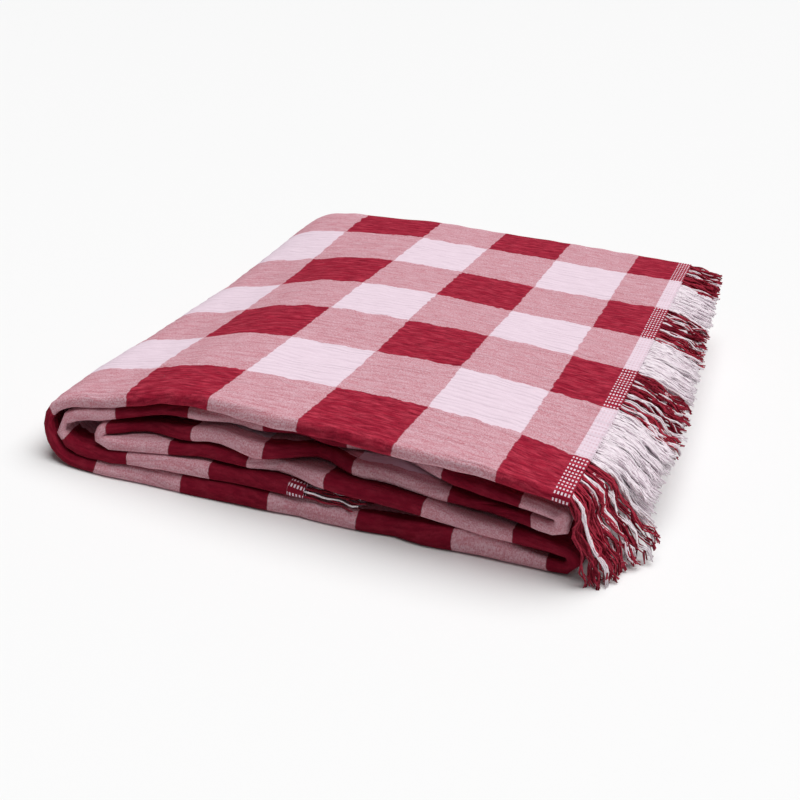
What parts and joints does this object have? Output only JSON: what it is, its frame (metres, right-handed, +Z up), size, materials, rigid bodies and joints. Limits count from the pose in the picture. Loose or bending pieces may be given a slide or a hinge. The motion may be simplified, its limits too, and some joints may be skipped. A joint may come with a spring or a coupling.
{
  "type": "throw blanket",
  "caption": "Self-fringed cotton throw in red and white gingham, folded into a stack of layers with a fringe along one side.",
  "frame": {"origin": "on the surface under the middle of the folded stack's bounding box", "axes": "+Z up, -Y towards the folded front edges, +X towards the fringed end of the top layer"},
  "size_m": [0.3324, 0.3576, 0.0498],
  "materials": {
    "gingham": "crinkled cotton double gauze in red and white checks",
    "fringe": "loose cotton warp yarn, red and white"
  },
  "bodies": {
    "root": {"throw_cloth": "gingham", "fringe_top": "fringe", "fringe_inner": "fringe"}
  },
  "joints": []
}
